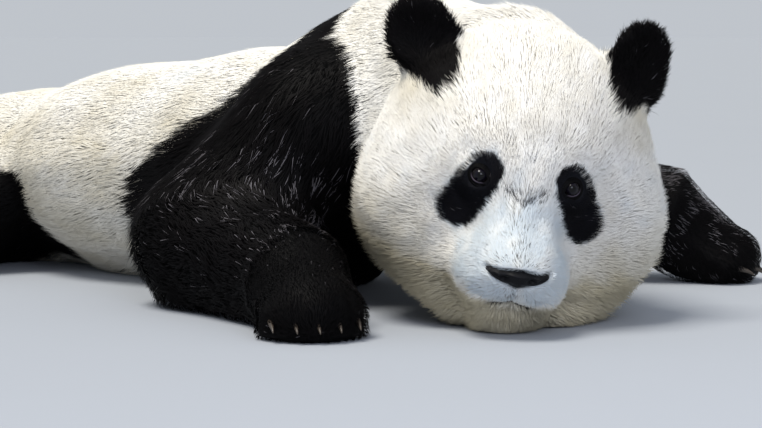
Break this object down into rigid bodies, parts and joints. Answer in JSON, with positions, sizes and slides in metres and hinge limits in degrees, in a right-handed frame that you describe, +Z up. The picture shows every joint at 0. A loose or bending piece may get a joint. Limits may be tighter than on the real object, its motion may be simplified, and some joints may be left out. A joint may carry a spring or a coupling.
{
  "type": "giant panda",
  "caption": "Life-size giant panda lying on its belly, chin on the floor, head turned to its right, fore legs sprawled.",
  "frame": {"origin": "middle of the box's underside, on the floor", "axes": "+Z up, -Y the way the body faces, +X the panda's own left"},
  "size_m": [0.8712, 1.3074, 0.3834],
  "materials": {
    "fur_white": "long matt cream fur",
    "fur_black": "long black fur with brown tips and a slight sheen",
    "nose_skin": "damp pebbled skin",
    "eye_gloss": "wet and clear",
    "claw_horn": "worn horn"
  },
  "bodies": {
    "root": {"eye_right": "eye_gloss", "eye_left": "eye_gloss", "nose": "nose_skin", "ear_right": "fur_black", "ear_left": "fur_black", "head": "fur_white", "claw_fore_right_1": "claw_horn", "claw_fore_right_2": "claw_horn", "claw_fore_right_3": "claw_horn", "claw_fore_right_4": "claw_horn", "claw_fore_right_5": "claw_horn", "upper_arm_right": "fur_black", "forearm_right": "fur_black", "fore_paw_right": "fur_black", "claw_hind_right_1": "claw_horn", "claw_hind_right_2": "claw_horn", "claw_hind_right_3": "claw_horn", "claw_hind_right_4": "claw_horn", "claw_hind_right_5": "claw_horn", "hind_foot_right": "fur_black", "shank_right": "fur_black", "thigh_right": "fur_black", "claw_fore_left_1": "claw_horn", "claw_fore_left_2": "claw_horn", "claw_fore_left_3": "claw_horn", "claw_fore_left_4": "claw_horn", "claw_fore_left_5": "claw_horn", "upper_arm_left": "fur_black", "forearm_left": "fur_black", "fore_paw_left": "fur_black", "claw_hind_left_1": "claw_horn", "claw_hind_left_2": "claw_horn", "claw_hind_left_3": "claw_horn", "claw_hind_left_4": "claw_horn", "claw_hind_left_5": "claw_horn", "hind_foot_left": "fur_black", "shank_left": "fur_black", "thigh_left": "fur_black", "tail": "fur_white", "neck": "fur_white", "trunk": "fur_white"}
  },
  "joints": []
}
